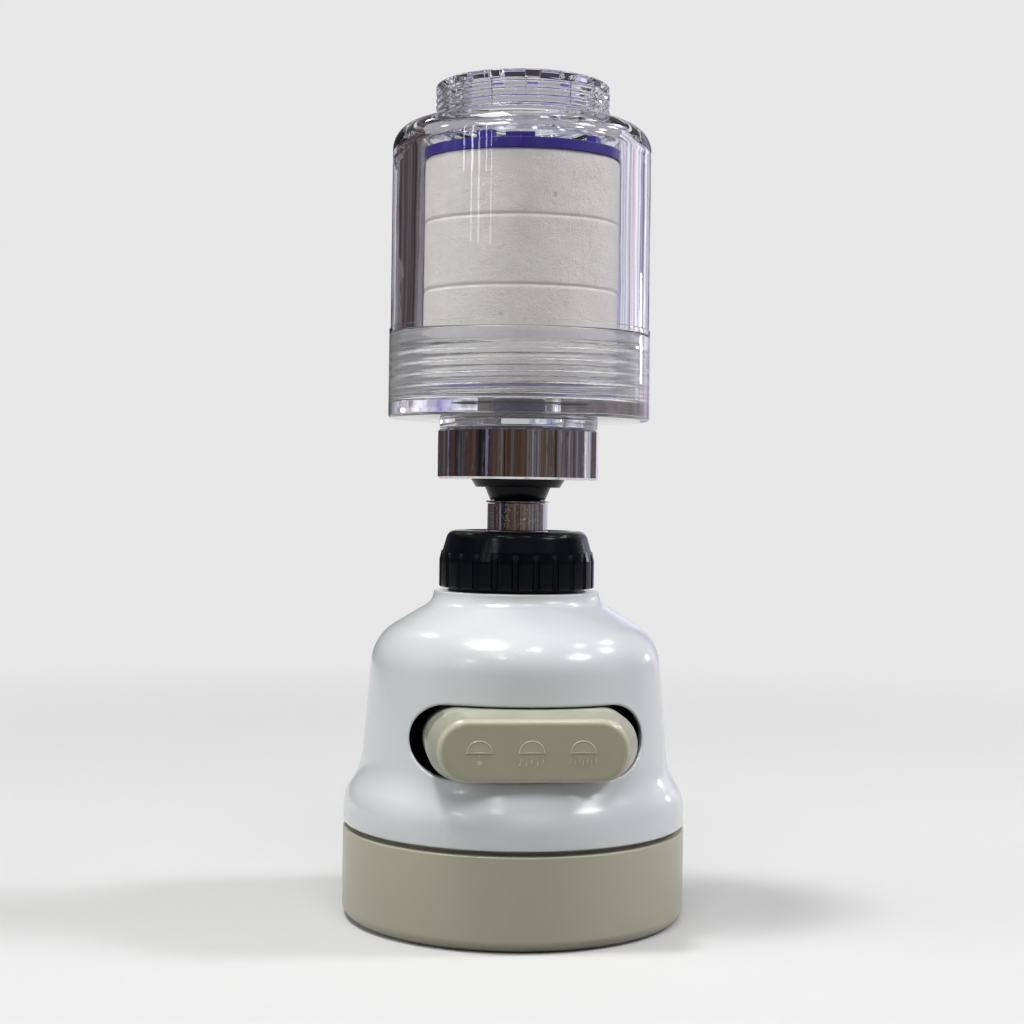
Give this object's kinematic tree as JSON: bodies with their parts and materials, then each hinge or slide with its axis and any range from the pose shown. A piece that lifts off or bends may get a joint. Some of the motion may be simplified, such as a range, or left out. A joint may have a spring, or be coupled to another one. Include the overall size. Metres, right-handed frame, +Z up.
{
  "type": "faucet mount water filter",
  "caption": "Faucet water filter with a clear cotton-filled canister on a swivel nut and a double ball-jointed spray head with a sliding spray selector.",
  "frame": {"origin": "centre of the spray head's foot, on the surface that the part stands on", "axes": "+Z up along the common axis of head, stem and canister; the selector faces -Y; +X is to the right of a viewer who looks at the selector"},
  "size_m": [0.056, 0.056, 0.1355],
  "materials": {
    "beige_abs": "satin moulded ABS, olive beige",
    "white_abs": "plain moulded ABS",
    "grey_abs": "glossy moulded ABS, light grey",
    "black_pom": "smooth moulded POM",
    "white_pom": "smooth moulded POM",
    "black_abs": "glossy moulded ABS",
    "chrome": "chromed, lightly pitted",
    "chromed_nut": "polished chrome",
    "steel": "plain stainless steel",
    "rubber": "matt rubber",
    "silicone": "soft grey silicone",
    "clear_silicone": "translucent silicone",
    "clear_cap": "clear moulded plastic",
    "clear_jar": "clear moulded plastic",
    "blue_plastic": "glossy indigo plastic",
    "cotton": "fibrous wound cotton"
  },
  "bodies": {
    "head": {"base_ring": "beige_abs", "spray_plate": "beige_abs", "nozzle_mat": "silicone", "jet_insert": "white_abs", "jet_screen": "steel", "distributor": "white_abs", "port_seal": "rubber", "centre_screw": "steel", "core_body": "black_abs", "ball_seal": "rubber", "shell": "grey_abs"},
    "selector": {"selector_cup": "black_pom", "selector_pad": "beige_abs"},
    "lower_seat": {"lower_ball_seat": "white_pom"},
    "stem": {"ball_stem": "chrome", "upper_ball": "black_pom"},
    "upper_seat": {"upper_ball_seat": "black_pom"},
    "end_cap": {"nut_gasket": "rubber", "end_cap": "clear_cap", "outlet_gasket": "rubber", "cartridge_lower_cap": "blue_plastic", "cotton_sleeve": "cotton", "cartridge_upper_cap": "blue_plastic", "nut": "chromed_nut"},
    "canister_seal": {"canister_seal": "clear_silicone"},
    "canister": {"canister": "clear_jar"},
    "liner": {"collar_liner": "white_pom"},
    "collar": {"collar": "black_abs"}
  },
  "joints": [
    {"name": "selector_turn", "type": "hinge", "parent": "head", "child": "selector", "pos_m": [0, 0, 0.0302], "axis": [0, 0, 1], "range_deg": [-5, 5]},
    {"name": "ball_turn", "type": "hinge", "parent": "head", "child": "lower_seat", "pos_m": [0, 0, 0.0565], "axis": [0, 0, 1], "continuous": true},
    {"name": "ball_tilt", "type": "hinge", "parent": "lower_seat", "child": "stem", "pos_m": [0, 0, 0.0565], "axis": [1, 0, 0], "range_deg": [-20, 20]},
    {"name": "upper_tilt", "type": "hinge", "parent": "stem", "child": "upper_seat", "pos_m": [0, 0, 0.0746], "axis": [1, 0, 0], "range_deg": [-10, 10]},
    {"name": "nut_turn", "type": "hinge", "parent": "upper_seat", "child": "end_cap", "pos_m": [0, 0, 0.0746], "axis": [0, 0, 1], "continuous": true},
    {"name": "seal_lift", "type": "slide", "parent": "end_cap", "child": "canister_seal", "axis": [0, 0, 1], "range_m": [0, 0.0091]},
    {"name": "canister_turn", "type": "hinge", "parent": "canister_seal", "child": "canister", "pos_m": [0, 0, 0.09], "axis": [0, 0, 1], "range_deg": [0, 1800]},
    {"name": "liner_lift", "type": "slide", "parent": "head", "child": "liner", "axis": [0, 0, 1], "range_m": [0, 0.00155]},
    {"name": "collar_turn", "type": "hinge", "parent": "liner", "child": "collar", "pos_m": [0, 0, 0.0565], "axis": [0, 0, 1], "range_deg": [0, 360]}
  ],
  "couplings": [
    {"joint": "seal_lift", "follows": "canister_turn", "m_per_rad": 0.00028648},
    {"joint": "liner_lift", "follows": "collar_turn", "m_per_rad": 0.00023873}
  ]
}
